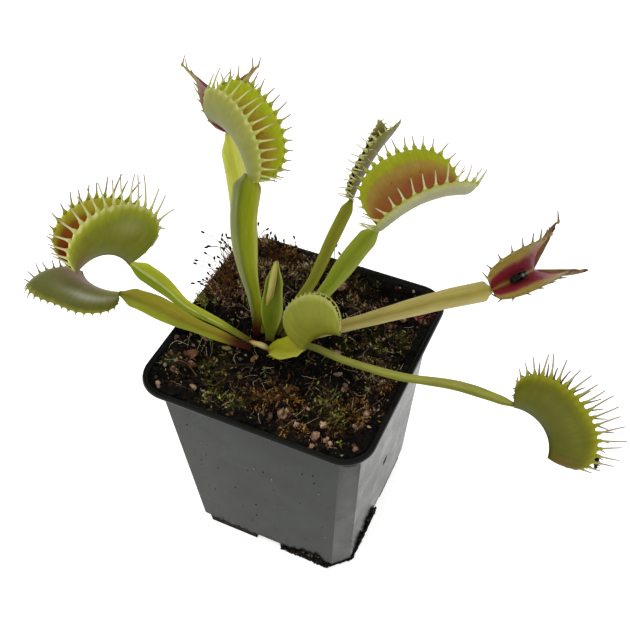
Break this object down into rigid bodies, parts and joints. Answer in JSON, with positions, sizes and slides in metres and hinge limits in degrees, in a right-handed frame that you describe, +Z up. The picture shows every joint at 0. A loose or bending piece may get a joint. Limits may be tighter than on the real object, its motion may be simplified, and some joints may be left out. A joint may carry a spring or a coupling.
{
  "type": "potted venus flytrap",
  "caption": "Venus flytrap with hinged, toothed traps on winged stalks, growing in moss-flecked peat in a tapered square plastic nursery pot.",
  "frame": {"origin": "centre of the pot's underside, on the plane that it stands on", "axes": "+Z up, +X through the middle of the pot's right-hand wall, -Y through the middle of its front wall"},
  "size_m": [0.2214, 0.1266, 0.1814],
  "materials": {
    "pot_plastic": "satin",
    "soil": "matte",
    "crown": "matte",
    "leaf": "satin",
    "bud": "satin",
    "prey": "matte"
  },
  "bodies": {
    "root": {"pot": "pot_plastic", "soil": "soil", "crown_with_roots": "crown", "leaf_left_high": "leaf", "leaf_left_low": "leaf", "leaf_tall": "leaf", "leaf_tall_behind": "leaf", "leaf_back_narrow": "leaf", "leaf_back_open": "leaf", "leaf_right_long": "leaf", "leaf_front_right": "leaf", "leaf_young": "leaf", "leaf_unopened": "leaf", "leaf_bud": "bud", "prey_right": "prey", "prey_back": "prey", "prey_front": "prey"}
  },
  "joints": []
}
